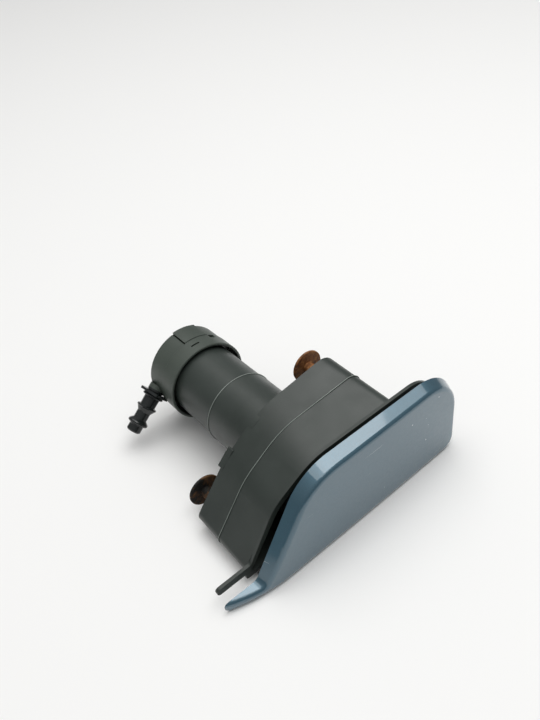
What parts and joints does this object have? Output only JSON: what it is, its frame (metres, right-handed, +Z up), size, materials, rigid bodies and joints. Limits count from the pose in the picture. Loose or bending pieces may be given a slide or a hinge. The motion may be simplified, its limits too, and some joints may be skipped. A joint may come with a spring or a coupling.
{
  "type": "telescoping headlamp washer jet",
  "caption": "Telescoping spray jet with a sprung hollow piston, twin aimable nozzles, a painted cover, a flanged housing, a latched end cap and an angled hose barb.",
  "frame": {"origin": "on the slide axis of the jet, in the plane of the housing's back face", "axes": "+Y along the slide axis towards the end cap and hose, -Y the way the cover travels; +X along the cover's straight lower edge towards its tall rounded end; +Z up"},
  "size_m": [0.1233, 0.1103, 0.0476],
  "materials": {
    "body_paint": "gloss",
    "housing_plastic": "matte",
    "cap_plastic": "matte",
    "black_plastic": "matte",
    "gloss_black": "gloss",
    "white_plastic": "satin",
    "rubber": "matte",
    "spring_steel": "satin",
    "jet_brass": "satin",
    "rusty_screw": "corroded",
    "dark_screw": "corroded"
  },
  "bodies": {
    "housing": {"bezel_housing": "housing_plastic", "cylinder": "housing_plastic", "end_cap": "cap_plastic", "cap_o_ring": "rubber", "lock_ring": "gloss_black", "hose_barb": "gloss_black", "barb_o_ring": "rubber", "barb_clip": "gloss_black", "front_guide_bush": "white_plastic", "rod_wiper": "rubber", "mounting_screw_upper": "rusty_screw", "mounting_screw_lower": "dark_screw"},
    "piston": {"piston_tube": "white_plastic", "piston": "black_plastic", "piston_seal": "rubber", "piston_guide_ring": "white_plastic", "return_spring": "spring_steel", "valve_cage": "white_plastic", "valve_seat": "rubber", "valve_spring": "spring_steel", "spring_spider": "white_plastic", "nozzle_head": "black_plastic", "head_seal": "rubber", "jet_retainer_left": "black_plastic", "jet_retainer_right": "black_plastic", "cover_carrier": "black_plastic", "painted_cover": "body_paint"},
    "poppet": {"valve_poppet": "white_plastic"},
    "left_jet": {"jet_ball_left": "jet_brass"},
    "right_jet": {"jet_ball_right": "jet_brass"}
  },
  "joints": [
    {"name": "piston_slide", "type": "slide", "parent": "housing", "child": "piston", "axis": [0, -1, 0], "range_m": [0, 0.042], "stiffness_N_per_m": 180, "springref_m": -0.03, "deforming": ["return_spring"]},
    {"name": "valve_lift", "type": "slide", "parent": "piston", "child": "poppet", "axis": [0, -1, 0], "range_m": [0, 0.0025], "stiffness_N_per_m": 400, "springref_m": -0.002, "deforming": ["valve_spring"]},
    {"name": "left_jet_aim", "type": "hinge", "parent": "piston", "child": "left_jet", "pos_m": [-0.0156, -0.0275, -0.002], "axis": [1, 0, 0], "range_deg": [-8, 8]},
    {"name": "right_jet_aim", "type": "hinge", "parent": "piston", "child": "right_jet", "pos_m": [0.0164, -0.0275, -0.002], "axis": [1, 0, 0], "range_deg": [-8, 8]}
  ]
}
